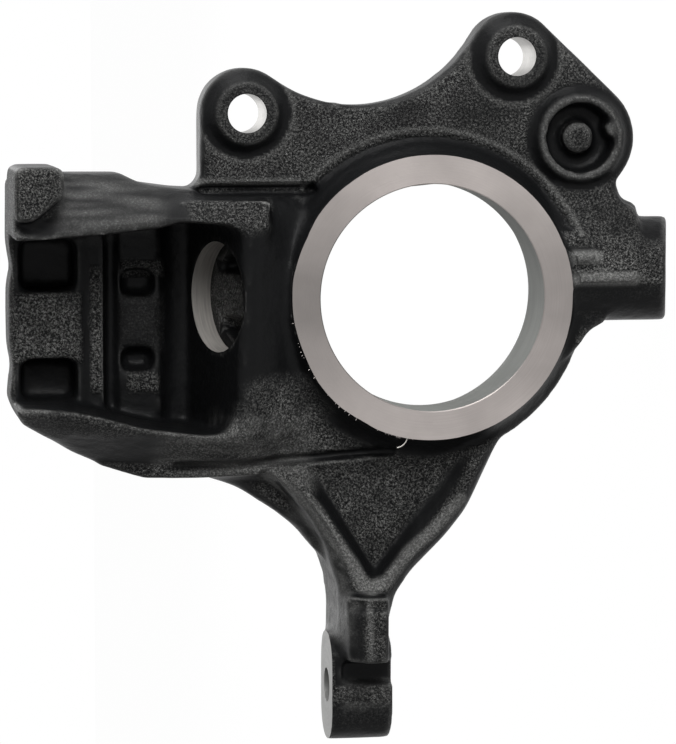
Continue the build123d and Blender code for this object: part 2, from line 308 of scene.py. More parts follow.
def cut(piece, finish, build, end_finish=None):
    """Takes a closed cutter out of a piece, which leaves faces of these material indices."""
    bm = bmesh.new()
    build(bm)
    bmesh.ops.recalc_face_normals(bm, faces=bm.faces)
    for face in bm.faces:
        is_end = len(face.verts) > QUAD
        face.material_index = end_finish if is_end and end_finish is not None else finish
    cutter = add_object("cutter", bm)
    for material in piece.data.materials:
        cutter.data.materials.append(material)
    applied(
        piece,
        "BOOLEAN",
        object=cutter,
        operation="DIFFERENCE",
        solver="MANIFOLD",
        material_mode="INDEX",
    )
    bpy.data.objects.remove(cutter)
    print("cut", finish, "leaves", len(piece.data.polygons), "faces")


print("cuts are made by", cut.__name__)

# %% [markdown]
# Three hollows are too small for the solid model: the gutter between the ear plate and the seat's
# ledge, the bent dent on top of the arm's front block and the dark recess between that block and
# the eye. They are cut from the melted skin, which is then melted once more, so that their edges
# round off like the rest.

# %% Carve the small hollows
PAINT = 0
GUTTER = (in_mm(36.8, -30, 40), in_mm(40.6, 15, 84))
EYE_RECESS = (in_mm(-141.8, -20, 8), in_mm(-133.5, 13, 31.5))
DENT_FORE = -0.1112
DENT_R = 2.1 * MM
DENT_LINE = ((3.4, 31), (-2.0, 23.8), (-1.1, 15))
SKIN_PASSES = 2

cut(casting, PAINT, lambda bm: add_box(bm, *GUTTER))
dent = [Vector((DENT_FORE, depth * MM, height * MM)) for depth, height in DENT_LINE]
for first, second in zip(dent, dent[1:]):
    cut(casting, PAINT, lambda bm: add_rod(bm, first, second, DENT_R, segments=SMALL_SIDES))
cut(casting, PAINT, lambda bm: add_box(bm, *EYE_RECESS))
melt(casting)
skin = bmesh.new()
skin.from_mesh(casting.data)
smooth(skin, skin.verts, SKIN_PASSES)
print("skin:", len(skin.verts), "points")

# %% [markdown]
# Narrow valleys run over sloping ground: one round the hub's flare, where the plate's grain stops
# at a rounded border, a short crease beside it, and one along the upper edge of the arm, which
# comes after the next step. A press that only looks at the distance to a line, seen from the
# front, follows the slope by itself. Each valley has a width and a depth.

# %% Press the valleys
FACES_FRONT = -0.25
FLAT_SHARE = 0.25
FAR_AWAY = 1.0
FLARE_FOOT_R = 57 * MM
PLATE_FORE, PLATE_TOP = 24 * MM, 48 * MM
FLARE_VALLEY = in_mm(3.2, 1.3)
CREASE_LINE = [(41, 32), (27, 26)]
CREASE_VALLEY = in_mm(0.8, 0.3)


def press(bm, distance, width, depth):
    """Sinks the points that face the front, by how near they lie to a line seen from there."""
    bm.normal_update()
    for vert in bm.verts:
        if vert.normal.y < FACES_FRONT:
            gap = distance(vert.co)
            if gap < width:
                vert.co.y += depth * (1 - soft_step(FLAT_SHARE * width, width, gap))


def line_gap(line):
    """The distance, seen from the front, to a chain of points given as (X, Z) in millimetres."""
    chain = [Vector(point) * MM for point in line]

    def gap(place):
        spot = Vector((place.x, place.z))
        best = FAR_AWAY
        for first, second in zip(chain, chain[1:]):
            along = second - first
            share = min(max((spot - first).dot(along) / along.length_squared, 0), 1)
            best = min(best, (spot - first - along * share).length)
        return best

    return gap


def flare_gap(place):
    """The distance to the foot of the hub's flare, on the plate's side of it."""
    off_plate = 0 if place.x > PLATE_FORE and place.z < PLATE_TOP else FAR_AWAY
    return abs(hypot(place.x, place.z) - FLARE_FOOT_R) + off_plate


press(skin, flare_gap, *FLARE_VALLEY)
press(skin, line_gap(CREASE_LINE), *CREASE_VALLEY)
smooth(skin, skin.verts, 1)
print("valleys pressed")

# %% [markdown]
# Some corners of the real casting are much rounder than the rest: the bridge from the strut seat
# down to the hub ring, the seat's skirt and walls, the ribs and web of the arm, and the pockets
# in the trough's floor. The pattern maker blended them by hand. Here the same skin gets more
# smoothing passes inside a few boxes, each with smaller boxes inside it so that no border shows.
# The number is the passes in each box.

# %% Blend the soft corners
BRIDGE = ((-56, -14, 42), (34, 14, 74))
SEAT_SKIRT = ((-57, -14, 20), (-40, 20, 80))
ARM_RIBS = ((-106, -4, -24), (-55, 17, 62))
WEB_ROOT = ((-84, 12, 52), (-52, 64, 92))
WEB_TIP = ((-112, 12, 41), (-76, 64, 70))
ARM_REAR = ((-108, -6, -36), (-54, 64, 8))
SEAT_REAR = ((-70, -22, 60), (-34, 8, 140))
FORE_WALL = ((22, -24, 70), (50, 14, 134))
TROUGH_PAD = ((-40, 3, 121), (26, 36, 151))
TROUGH_BLOCK = ((-38, 20, 90), (16, 40, 113))
blends = (
    (BRIDGE, 14),
    (SEAT_SKIRT, 10),
    (ARM_RIBS, 3),
    (WEB_ROOT, 14),
    (WEB_TIP, 14),
    (ARM_REAR, 6),
    (SEAT_REAR, 6),
    (FORE_WALL, 4),
    (TROUGH_PAD, 4),
    (TROUGH_BLOCK, 4),
)
for (low, high), passes in blends:
    smooth_zone(skin, low, high, passes)
ARM_GROOVE = [(-60.2, 92), (-60, 72), (-59, 46), (-56.6, 13)]
ARM_VALLEY = in_mm(2.2, 2.6)
GROOVE_BLEND = 5 * MM
groove_gap = line_gap(ARM_GROOVE)
press(skin, groove_gap, *ARM_VALLEY)
smooth(skin, [vert for vert in skin.verts if groove_gap(vert.co) < GROOVE_BLEND], 1)
print("blended", len(blends), "zones")

# %% [markdown]
# No cast wall is truly flat. A slow wave, less than a fifth of a millimetre deep, makes
# highlights wander as they do on the real part. It only sinks the skin, so the part never grows
# past its own size.

# %% Cast waviness
WAVE_DEPTH = 0.16 * MM
WAVE_LENGTH = 9 * MM
skin.normal_update()
for vert in skin.verts:
    sink = 0.5 - 0.5 * noise.noise(vert.co / WAVE_LENGTH)
    vert.co -= vert.normal * WAVE_DEPTH * sink
skin.to_mesh(casting.data)
skin.free()
print("waves up to", round(WAVE_DEPTH / MM, 2), "mm deep")

# %% [markdown]
# Machining. Each cutter is the exact space that a real tool sweeps: a facing cut across the hub,
# a stepped bore, drills through the ears and the eye. The Boolean's Manifold solver is fast on a
# closed skin, and the faces that a cutter leaves take the cutter's material index, so bare metal
# appears only where it was cut. One thin tube leaves the paint's own index, so that the ring's
# outer side stays painted up to its lip.

# %% Plan the machined faces
RUN_OUT = 20 * MM
FACING_R = RING_R + 1.8 * MM
RING_LIP = 0.6 * MM
MOUTH_BREAK = 0.35 * MM
EYE_MARGIN = 1.2 * MM
SPIGOT_LEAD, SPIGOT_SHORT = 8 * MM, 0.2 * MM
BALL_CUT = 15 * MM
DRILLED_SIDES, SPIGOT_SIDES, FACING_SIDES = 64, 128, 96
HUB_METAL, BORE_METAL, UPPER_METAL, LOWER_METAL, EYE_METAL, SPIGOT_METAL, BALL_METAL = range(1, 8)


def drill(mouth, axis, length, radius, lead=RUN_OUT, segments=DRILLED_SIDES):
    """A cutter builder: a straight hole from outside the mouth to this length."""
    mouth, axis = Vector(mouth), Vector(axis).normalized()
    ends = (mouth + axis * lead, mouth - axis * length)
    return lambda bm: add_rod(bm, *ends, radius, segments=segments)


def machine_hub(piece):
    """The hub's face, its painted side, the bore, the relief behind it and the broken edge."""
    hub_at, inboard = (0, 0, 0), (0, -1, 0)
    trim = ((0, -RUN_OUT, 0), (0, RING_LIP, 0), RING_R, FACING_R + OVERLAP, TURNED_SIDES)
    edge_r = BORE_R + MOUTH_BREAK + OVERLAP
    edge = ((0, -OVERLAP, 0), (0, MOUTH_BREAK, 0), edge_r, BORE_R, TURNED_SIDES)
    through = HUB_DEPTH + RUN_OUT
    relief_at = (0, SEAT_LENGTH, 0)
    cut(piece, HUB_METAL, drill(hub_at, inboard, 0, FACING_R, segments=FACING_SIDES))
    cut(piece, PAINT, lambda bm: add_tube(bm, *trim))
    cut(piece, BORE_METAL, drill(hub_at, inboard, through, BORE_R, segments=TURNED_SIDES))
    cut(piece, BORE_METAL, drill(relief_at, (0, 1, 0), 0, RELIEF_R, HUB_DEPTH, TURNED_SIDES))
    cut(piece, HUB_METAL, lambda bm: add_rod(bm, *edge))


def machine_holes(piece):
    """The two ears, the eye's face and hole, the spigot hole and the lower boss's bore."""
    for name, finish in zip(ear_names, (UPPER_METAL, LOWER_METAL)):
        mount = mounts[name]
        ear_hole_r = mount["dims"]["r_mm"] * MM
        cut(piece, finish, drill(mount["pos_m"], mount["axis"], 2 * RUN_OUT, ear_hole_r))
    for side in (-EYE_FLAT, EYE_FLAT):
        end = Vector((tie_at.x + side, tie_at.y, EYE_TOP))
        cut(piece, EYE_METAL, drill(end, (0, 0, 1), 0, EYE_R + EYE_MARGIN))
    low = (tie_at.x - EYE_FLAT, tie_at.y - EYE_R - EYE_MARGIN, EYE_TOP)
    high = (tie_at.x + EYE_FLAT, tie_at.y + EYE_R + EYE_MARGIN, EYE_TOP + RUN_OUT)
    cut(piece, EYE_METAL, lambda bm: add_box(bm, low, high))
    tie_r = tie["dims"]["r_mm"] * MM
    cut(piece, EYE_METAL, drill(tie_at, (0, 0, 1), 2 * RUN_OUT, tie_r, 2 * RUN_OUT))
    spigot_cut = spigot_length - SPIGOT_SHORT
    spigot_drill = drill(spigot_at, spigot_axis, spigot_cut, spigot_r, SPIGOT_LEAD, SPIGOT_SIDES)
    cut(piece, SPIGOT_METAL, spigot_drill, end_finish=PAINT)
    ball = mounts["ball_joint_bore"]
    ball_r = ball["dims"]["r_mm"] * MM
    cut(piece, BALL_METAL, drill(ball["pos_m"], ball["axis"], BALL_CUT, ball_r, 2 * RUN_OUT))


print("facing cut", round(FACING_R / MM, 1), "mm and bore", round(BORE_R / MM, 1), "mm in radius")

# %% [markdown]
# The finishes are built from shader nodes, and two effects serve more than one place, so they are
# node groups. These helpers make a group, a node with its inputs set or linked in one line, a
# maths step and a ramp.

# %% Node helpers


def new_group(name, inputs, outputs):
    """An empty shader node group with named float, vector or colour sockets."""
    group = bpy.data.node_groups.new(name, "ShaderNodeTree")
    for direction, sockets in (("INPUT", inputs), ("OUTPUT", outputs)):
        for label, kind, default in sockets:
            socket = group.interface.new_socket(label, in_out=direction, socket_type=kind)
            if default is not None:
                socket.default_value = default
    return group, group.nodes.new("NodeGroupInput"), group.nodes.new("NodeGroupOutput")


def node(tree, kind, settings=None, **links):
    """A node with its settings made and its inputs linked or set, by name or as i0, i1 and on."""
    made = tree.nodes.new(kind)
    for key, value in (settings or {}).items():
        setattr(made, key, value)
    for key, value in links.items():
        by_number = key[0] == "i" and key[1:].isdigit()
        socket = made.inputs[int(key[1:]) if by_number else key.replace("_", " ")]
        if isinstance(value, bpy.types.NodeSocket):
            tree.links.new(value, socket)
        else:
            socket.default_value = value
    return made


def math_node(tree, operation, first, second=0.0):
    """The output of a math node on two sockets or numbers."""
    return node(tree, "ShaderNodeMath", {"operation": operation}, i0=first, i1=second).outputs[0]


def ramp(tree, value, low, high, to_low, to_high):
    """The value carried from one range to another, held at its ends."""
    ends = {"i1": low, "i2": high, "i3": to_low, "i4": to_high}
    return node(tree, "ShaderNodeMapRange", i0=value, **ends).outputs[0]


print("node helpers ready")

# %% [markdown]
# Bare metal. A lathe leaves fine rings round its axis and a drill leaves the same rings down its
# wall. One node group turns Object coordinates into radius, height and angle round the Y axis and
# feeds them to a noise that is stretched along the angle, so the marks follow the tool. A Mapping
# node in each material puts that axis on its own hole.

# %% Tool marks
NUMBER, POINT = "NodeSocketFloat", "NodeSocketVector"
RING_PITCH = 2500.0


def build_tool_marks():
    """Rings round the Y axis of the given vector, in metres."""
    group, given, result = new_group(
        "Tool marks",
        [("Vector", POINT, None), ("Pitch", NUMBER, RING_PITCH), ("Streaks", NUMBER, 1.5)],
        [("Marks", NUMBER, None), ("Cloud", NUMBER, None)],
    )
    parts = node(group, "ShaderNodeSeparateXYZ", Vector=given.outputs["Vector"])
    across = (parts.outputs["X"], parts.outputs["Z"])
    squares = [math_node(group, "MULTIPLY", length, length) for length in across]
    radius = math_node(group, "SQRT", math_node(group, "ADD", *squares))
    angle = math_node(group, "ARCTAN2", parts.outputs["Z"], parts.outputs["X"])
    rings = node(
        group,
        "ShaderNodeCombineXYZ",
        X=math_node(group, "MULTIPLY", radius, given.outputs["Pitch"]),
        Y=math_node(group, "MULTIPLY", parts.outputs["Y"], given.outputs["Pitch"]),
        Z=math_node(group, "MULTIPLY", angle, given.outputs["Streaks"]),
    )
    marks = {"Scale": 1.0, "Detail": 3.0, "Roughness": 0.6}
    lines = node(group, "ShaderNodeTexNoise", Vector=rings.outputs[0], **marks)
    stains = {"Scale": 45.0, "Detail": 4.0}
    cloud = node(group, "ShaderNodeTexNoise", Vector=given.outputs["Vector"], **stains)
    group.links.new(lines.outputs[0], result.inputs["Marks"])
    group.links.new(cloud.outputs[0], result.inputs["Cloud"])
    return group


TOOL_MARKS = build_tool_marks()
print("shader group:", TOOL_MARKS.name)

# %% [markdown]
# The sand skin. Moulding sand prints its grains into the iron, and paint only half fills them.
# Two noises of different size make the grains, a slower one the swell under them, and only the
# highest tops go into the mask, which paints glints on them: painted highlights for the sparkle
# that lamps would raise on the grains. A slow cloud makes those painted glints stronger in some
# places than in others. Scale, detail and roughness are listed.

# %% Sand skin
COARSE_GRAINS = (1250.0, 3.0, 0.65)
FINE_GRAINS = (2700.0, 1.0, 0.6)
SLOW_WAVES = (150.0, 2.0, 0.5)
GLINT_CLOUD = (70.0, 3.0, 0.5)
FINE_SHARE, WAVE_SHARE, LEAST_SAND = 0.5, 0.6, 0.10
TOPS_START, TOPS_POWER = 0.64, 1.6


def build_sand_skin():
    """Sand-cast iron under paint: a grain height, a mask of painted glints and a slow cloud for
    them.
    """
    group, given, result = new_group(
        "Sand skin",
        [("Vector", POINT, None), ("Sand", NUMBER, 1.0)],
        [("Height", NUMBER, None), ("Grain", NUMBER, None), ("Cloud", NUMBER, None)],
    )
    place = given.outputs["Vector"]
    made = []
    for scale, detail, roughness in (COARSE_GRAINS, FINE_GRAINS, SLOW_WAVES, GLINT_CLOUD):
        settings = {"Scale": scale, "Detail": detail, "Roughness": roughness}
        made.append(node(group, "ShaderNodeTexNoise", Vector=place, **settings))
    coarse, fine, waves, cloud = made
    small = math_node(group, "MULTIPLY", fine.outputs[0], FINE_SHARE)
    grain = math_node(group, "ADD", coarse.outputs[0], small)
    sand = math_node(group, "ADD", given.outputs["Sand"], LEAST_SAND)
    swell = math_node(group, "MULTIPLY", waves.outputs[0], WAVE_SHARE)
    height = math_node(group, "ADD", math_node(group, "MULTIPLY", grain, sand), swell)
    tops = ramp(group, grain, TOPS_START, 1.0, 0.0, 1.0)
    mask = math_node(group, "POWER", tops, TOPS_POWER)
    group.links.new(height, result.inputs["Height"])
    group.links.new(mask, result.inputs["Grain"])
    group.links.new(cloud.outputs[0], result.inputs["Cloud"])
    return group


SAND_SKIN = build_sand_skin()
print("shader group:", SAND_SKIN.name)

# %% [markdown]
# Every finish starts in the same way: a Principled shader, the Object coordinates and a way to
# mix two colours. These three stay in helpers, so that each material below says only what is its
# own.

# %% Material helpers


def new_material(name):
    """A material with an empty tree, its Principled shader and Object coordinates."""
    material = bpy.data.materials.new(name)
    material.use_nodes = True
    tree = material.node_tree
    tree.nodes.clear()
    shader = tree.nodes.new("ShaderNodeBsdfPrincipled")
    output = tree.nodes.new("ShaderNodeOutputMaterial")
    tree.links.new(shader.outputs[0], output.inputs["Surface"])
    place = tree.nodes.new("ShaderNodeTexCoord").outputs["Object"]
    return material, tree, shader, place


def use_group(tree, group, **links):
    """A group node in a material, with its inputs linked or set by name."""
    return node(tree, "ShaderNodeGroup", {"node_tree": group}, **links)


MIX_COLOURS, MIX_RESULT = (6, 7), 2


def blend(tree, share, first, second):
    """The mix of two colours or sockets by a share."""
    mixed = node(tree, "ShaderNodeMix", {"data_type": "RGBA"}, i0=share)
    for index, colour in zip(MIX_COLOURS, (first, second)):
        if isinstance(colour, bpy.types.NodeSocket):
            tree.links.new(colour, mixed.inputs[index])
        else:
            mixed.inputs[index].default_value = (*colour, 1)
    return mixed.outputs[MIX_RESULT]


print("material helpers ready")

# %% [markdown]
# Paint over cast iron is nearly black and fairly glossy. How each grain tips the light shows more
# than the paint's own colour, so the Height of the sand skin drives a Bump node, and its mask
# turns the grain tops grey as painted glints. The point attribute sand says where the mould left
# coarse grains, and edge where highlights are painted on edges, crests and lit walls.

# %% Cast paint
PAINT_DEEP = (0.006, 0.0062, 0.0066)
PAINT_GLINT = (0.30, 0.30, 0.29)
PAINT_HIGHLIGHT = (0.29, 0.29, 0.282)
CALM_GLOSS, SANDY_GLOSS = 0.36, 0.60
GRAIN_BUMP, GRAIN_HEIGHT = 0.9, 0.0011
PAINT_IOR, PAINT_SPECULAR = 1.155, 0.6


def build_cast_paint():
    """Gloss black paint over the sand skin, with painted glints on its grain tops and painted
    highlights on its edges.
    """
    material, tree, shader, place = new_material("black_painted_casting")
    sand = node(tree, "ShaderNodeAttribute", {"attribute_name": "sand"}).outputs["Fac"]
    edge = node(tree, "ShaderNodeAttribute", {"attribute_name": "edge"}).outputs["Fac"]
    skin = use_group(tree, SAND_SKIN, Vector=place, Sand=sand)
    cloud = ramp(tree, skin.outputs["Cloud"], 0.35, 0.65, 0.45, 1.15)
    # Painted glints: the grain tops turn grey where the sand is coarse.
    clouded = math_node(tree, "MULTIPLY", skin.outputs["Grain"], cloud)
    grain_glints = math_node(tree, "MULTIPLY", clouded, sand)
    speckle = ramp(tree, skin.outputs["Grain"], 0.0, 1.0, 0.35, 1.0)
    # Painted highlights: edges, crests and lit walls turn grey, speckled by the grain.
    edge_highlight = math_node(tree, "MULTIPLY", edge, speckle)
    colour = blend(tree, edge_highlight, blend(tree, grain_glints, PAINT_DEEP, PAINT_GLINT), PAINT_HIGHLIGHT)
    tree.links.new(colour, shader.inputs["Base Color"])
    gloss = ramp(tree, sand, 0.0, 1.0, CALM_GLOSS, SANDY_GLOSS)
    tree.links.new(gloss, shader.inputs["Roughness"])
    relief = {"Strength": GRAIN_BUMP, "Distance": GRAIN_HEIGHT}
    bump = node(tree, "ShaderNodeBump", Height=skin.outputs["Height"], **relief)
    tree.links.new(bump.outputs[0], shader.inputs["Normal"])
    shader.inputs["IOR"].default_value = PAINT_IOR
    shader.inputs["Specular IOR Level"].default_value = PAINT_SPECULAR
    return material


finishes = [build_cast_paint()]
print("paint:", finishes[PAINT].name)

# %% [markdown]
# Machined iron. Each hole gets its own material, because its tool marks run round its own axis.
# The marks darken the colour a little, a slow cloud varies it, and both change the roughness. The
# bore and the holes that show only as lit crescents are less metallic, since a full metal there
# would mirror white or black.

# %% Machined iron
MARKS_SPAN = (0.3, 0.7)
CLOUD_DARK, CLOUD_LIGHT, LINE_DARK = 0.84, 1.08, 0.6
SMOOTHER, ROUGHER = 0.06, 0.08
MARK_BUMP, MARK_HEIGHT = 0.3, 0.0001
PLAIN_MARKS, LIT_MARKS = 0.22, 0.9


def build_metal(
    name, centre, axis, colour, roughness, pitch=RING_PITCH, metallic=1.0, contrast=PLAIN_MARKS
):
    """Bare machined iron whose tool marks run round the given axis."""
    material, tree, shader, place = new_material(name)
    turn = Vector(axis).rotation_difference(Vector((0, 1, 0))).to_matrix()
    mapping = node(tree, "ShaderNodeMapping", Vector=place)
    mapping.inputs["Location"].default_value = -(turn @ Vector(centre))
    mapping.inputs["Rotation"].default_value = turn.to_euler()
    marks = use_group(tree, TOOL_MARKS, Vector=mapping.outputs[0], Pitch=pitch)
    dark, light, lined = (
        [share * part for part in colour] for share in (CLOUD_DARK, CLOUD_LIGHT, LINE_DARK)
    )
    cloudy = blend(tree, ramp(tree, marks.outputs["Cloud"], *MARKS_SPAN, 0.0, 1.0), dark, light)
    lines = ramp(tree, marks.outputs["Marks"], *MARKS_SPAN, 0.0, contrast)
    tree.links.new(blend(tree, lines, cloudy, lined), shader.inputs["Base Color"])
    gloss_ends = (roughness - SMOOTHER, roughness + ROUGHER)
    gloss = ramp(tree, marks.outputs["Marks"], *MARKS_SPAN, *gloss_ends)
    tree.links.new(gloss, shader.inputs["Roughness"])
    relief = {"Strength": MARK_BUMP, "Distance": MARK_HEIGHT}
    bump = node(tree, "ShaderNodeBump", Height=marks.outputs["Marks"], **relief)
    tree.links.new(bump.outputs[0], shader.inputs["Normal"])
    shader.inputs["Metallic"].default_value = metallic
    return material


# Painted shade: the turned hub face is darker towards its two sides along Z, where its reflection
# of the light is weaker.
SIDE_SHADE = (0.10, 0.095, 0.09)
SHADED_SIDES = ((48 * MM, 0.62), (-48 * MM, 0.38))
SIDE_SHADE_REACH = in_mm(8, 48)


def shade_face_sides(material):
    """Darkens the hub face towards its two sides, as painted shade for its weaker reflection there.
    """
    tree = material.node_tree
    shader = tree.nodes["Principled BSDF"]
    place = tree.nodes["Texture Coordinate"].outputs["Object"]
    unshaded = shader.inputs["Base Color"].links[0].from_socket
    shade = 0.0
    distance = {"operation": "DISTANCE"}
    for side, strength in SHADED_SIDES:
        away = node(tree, "ShaderNodeVectorMath", distance, i0=place, i1=(0, 0, side))
        sector_shade = ramp(tree, away.outputs["Value"], *SIDE_SHADE_REACH, strength, 0.0)
        shade = math_node(tree, "ADD", sector_shade, shade)
    tree.links.new(blend(tree, shade, unshaded, SIDE_SHADE), shader.inputs["Base Color"])


WARM_IRON = (0.40, 0.365, 0.35)
GREY_IRON = (0.40, 0.39, 0.375)
DULL_IRON = (0.36, 0.36, 0.352)
# LIT_IRON is a painted highlight: the spigot hole's wall gets little lamp light, so its iron is
# lighter.
LIT_IRON = (0.5, 0.475, 0.445)
OILED_IRON = (0.19, 0.195, 0.185)
BORE_ROUGH, FACE_ROUGH, HOLE_ROUGH = 0.6, 0.42, 0.4
BORE_IOR, EYE_IOR = 1.1, 1.2
HOLE_PITCH = 1400.0
wheel_axis = ((0, 0, 0), (0, 1, 0))
bore_wall = build_metal("bored_hub_wall", *wheel_axis, OILED_IRON, BORE_ROUGH, metallic=0.3)
bore_wall.node_tree.nodes["Principled BSDF"].inputs["IOR"].default_value = BORE_IOR
hub_face = build_metal("turned_hub_face", *wheel_axis, WARM_IRON, FACE_ROUGH)
shade_face_sides(hub_face)
finishes += [hub_face, bore_wall]
for name, metal, colour, metallic, contrast in (
    ("caliper_hole_upper", "drilled_upper_ear", GREY_IRON, 0.85, PLAIN_MARKS),
    ("caliper_hole_lower", "drilled_lower_ear", GREY_IRON, 0.85, PLAIN_MARKS),
    ("tie_rod_hole", "faced_eye", DULL_IRON, 0.2, PLAIN_MARKS),
    ("strut_spigot_hole", "bored_spigot_hole", LIT_IRON, 0.3, LIT_MARKS),
    ("ball_joint_bore", "bored_ball_joint", GREY_IRON, 0.85, PLAIN_MARKS),
):
    mount = mounts[name]
    bored = (mount["pos_m"], mount["axis"])
    looks = (colour, HOLE_ROUGH, HOLE_PITCH, metallic, contrast)
    finishes.append(build_metal(metal, *bored, *looks))
finishes[EYE_METAL].node_tree.nodes["Principled BSDF"].inputs["IOR"].default_value = EYE_IOR
for finish in finishes:
    casting.data.materials.append(finish)
print("finishes:", [finish.name for finish in finishes])

# %% [markdown]
# The cuts come only now, because each carries a material index, and the Boolean needs the piece
# to have its materials already. The hub comes first, because the other holes are measured from
# its axis.

# %% Machine the casting
machine_hub(casting)
machine_holes(casting)

# %% [markdown]
# How coarse the skin is. Where the mould lay flat against the part it left coarse grains, and
# walls that slid out of the sand drew out smooth. A function of place and direction says so, with
# short tables for the places that differ: calm boxes, coarse boxes and calm rings, each of which
# fades out at its border, so that none shows. A box has two corners, a share and a fade. A ring
# has its axis, two radii and a share. The tables are in millimetres. A slow wander bends the
# borders of the boxes that have a wide fade.

# %% Calm and coarse places
FLARE = (0, 0)
EARS = [tuple(mounts[name]["pos_m"][axis] / MM for axis in (0, 2)) for name in ear_names]
CUP_AT = (57.2, -56.2)
STUB_ROOT = ((-6, -10, -90), (24, 40, -44))
# Where the sand is low the paint keeps its dark base colour and no painted glints, so some calm
# places below are painted shade: inside the trough, the recess before the eye and the eye's end.
CALM_AND_SHADED_PLACES = (
    ((22, -20, -90), (110, 40, 90), 0.64, 3),  # the ear plate
    ((-24, -16, 50), (36, 16, 72), 0, 5),  # the bridge to the hub
    ((22, -30, 84), (54, 12, 132), 0, 5),  # the seat's fore wall
    # painted shade in the recess before the eye
    ((-142, 0, 8), (-132, 15, 34), 0, 1),  # the recess before the eye
    # painted shade on the eye's end, which faces away from the light
    ((-165, -10, 8), (-150.5, 60, 40), 0.12, 3),  # the eye's end
    # painted shade inside the deep trough
    ((-46, -16, 60), (30, 60, 149), 0, 1),  # inside the trough
    ((-12, 0, -90), (3.5, 40, -54), 0.1, 2),  # the lower boss's rear side
)
COARSE_PLACES = (
    ((-22.5, 5, 126), (1.4, 20, 150), 1, 1.5),  # the pad between the pockets
    ((-33, 10, 114.5), (10, 22.5, 121), 1, 1.5),  # the floor's cross rib
    ((-20, 24, 93), (0, 31, 110), 0.15, 2),  # the floor's middle block
    ((8, 24, 95), (12, 36, 109), 1, 1.5),  # that block's fore end
    ((-34, 24, 97), (-29, 36, 107), 1, 1.5),  # that block's rear end
    ((-46, -16, 60), (-38, 8, 149), 0.6, 3),  # the trough's rear rim
    ((28, -16, 62), (36.5, 4, 86), 0.9, 5),  # the ledge
    ((-66, -20, 46), (-46, 14, 92), 1, 8),  # the skirt
    ((-62, -20, 42), (-34, 10, 62), 1, 9),  # the skirt beside the hub
)
CALM_AND_SHADED_RINGS = (
    (EARS[0], 11.6, 16.2, 0),
    (EARS[1], 11.6, 16.2, 0),
    (EARS[0], 0, 11.6, 0.7),
    (EARS[1], 0, 11.6, 0.7),
    # painted shade in the cup's deep hollow
    (CUP_AT, 6.4, 13.6, 0),
    (CUP_AT, 13.6, 15.3, 0.5),
    (CUP_AT, 15.3, 19.2, 0),
)
SPIGOT_BAR = ((-10, 12, 64), (7, 36, 80), 1)
print("places:", len(CALM_AND_SHADED_PLACES), "calm,", len(COARSE_PLACES), "coarse,", len(CALM_AND_SHADED_RINGS), "rings")

# %% [markdown]
# Two functions tell how far a point lies inside a box or a ring, and a third puts everything
# together. Only the seat's top end and skin that faces the front or the back square on are
# coarse, and what faces the front follows the tables.

# %% Sand by place
TOP_FACING, TOP_MARGIN, TOP_SAND = 0.8, 3 * MM, 0.8
SQUARE_ON = (0.76, 0.95)
LOOKS_FORWARD = (0.3, 0.6)
WANDER, WANDER_LENGTH, LESS_WANDER = 2.2 * MM, 6 * MM, 0.35
NARROW_FADE, MIDDLE_FADE = 1, 2
FLARE_RING, STUB_FADE = (50, 57.6), 3
GROOVE_SAND = in_mm(0.8, 2.6)


def box_share(place, low, high, fade):
    """1 inside a box given in millimetres, fading to 0 within this distance outside it."""
    share = 1.0
    for axis in range(3):
        value = place[axis] / MM
        past_low = soft_step(low[axis] - fade, low[axis], value)
        share *= past_low * (1 - soft_step(high[axis], high[axis] + fade, value))
    return share


def ring_share(place, centre, inner, outer, fade=0.8):
    """1 between two radii round an axis along Y, in millimetres, fading to 0 outside."""
    across = hypot(place.x / MM - centre[0], place.z / MM - centre[1])
    return soft_step(inner - fade, inner, across) * (1 - soft_step(outer, outer + fade, across))


def sand_amount(place, normal):
    """How coarse the sand left the skin, from 0 to 1."""
    if normal.z > TOP_FACING and place.z > cad_box[1].z - TOP_MARGIN:
        return TOP_SAND
    amount = soft_step(*SQUARE_ON, abs(normal.y))
    if normal.y < 0:
        wander = place + WANDER * noise.noise_vector(place / WANDER_LENGTH)
        for low, high, share, fade in CALM_AND_SHADED_PLACES:
            spot = wander if fade > NARROW_FADE else place
            amount *= 1 - (1 - share) * box_share(spot, low, high, fade)
        for centre, inner, outer, share in CALM_AND_SHADED_RINGS:
            amount *= 1 - (1 - share) * ring_share(place, centre, inner, outer)
        off_stub = 1 - box_share(place, *STUB_ROOT, STUB_FADE)
        amount *= 1 - ring_share(place, FLARE, *FLARE_RING) * off_stub
        forward = soft_step(*LOOKS_FORWARD, -normal.y)
        for low, high, share, fade in COARSE_PLACES:
            spot = wander if fade > MIDDLE_FADE else place.lerp(wander, LESS_WANDER)
            amount = max(amount, forward * share * box_share(spot, low, high, fade))
        amount = max(amount, box_share(wander, *SPIGOT_BAR))
        amount *= soft_step(*GROOVE_SAND, groove_gap(place))
    return amount


FORWARD, UPWARD = Vector((0, -1, 0)), Vector((0, 0, 1))
on_plate = sand_amount(Vector(in_mm(60, 10, 0)), FORWARD)
print("sand on the ear plate:", round(on_plate, 2))

# %% [markdown]
# Painted highlights. Whatever stands out would catch the light, and here it is painted lighter
# instead: the crests of the arm's ribs, the lip of the cup, the line where the plate's grain
# begins. Those lines are listed as seen from the front, each with its width and its share, and
# some places as boxes that look one way, where streaks paint the sheen of a lit wall. Everywhere
# else the bulge of the skin tells how far a point stands out from its neighbours. The lists are
# in millimetres.

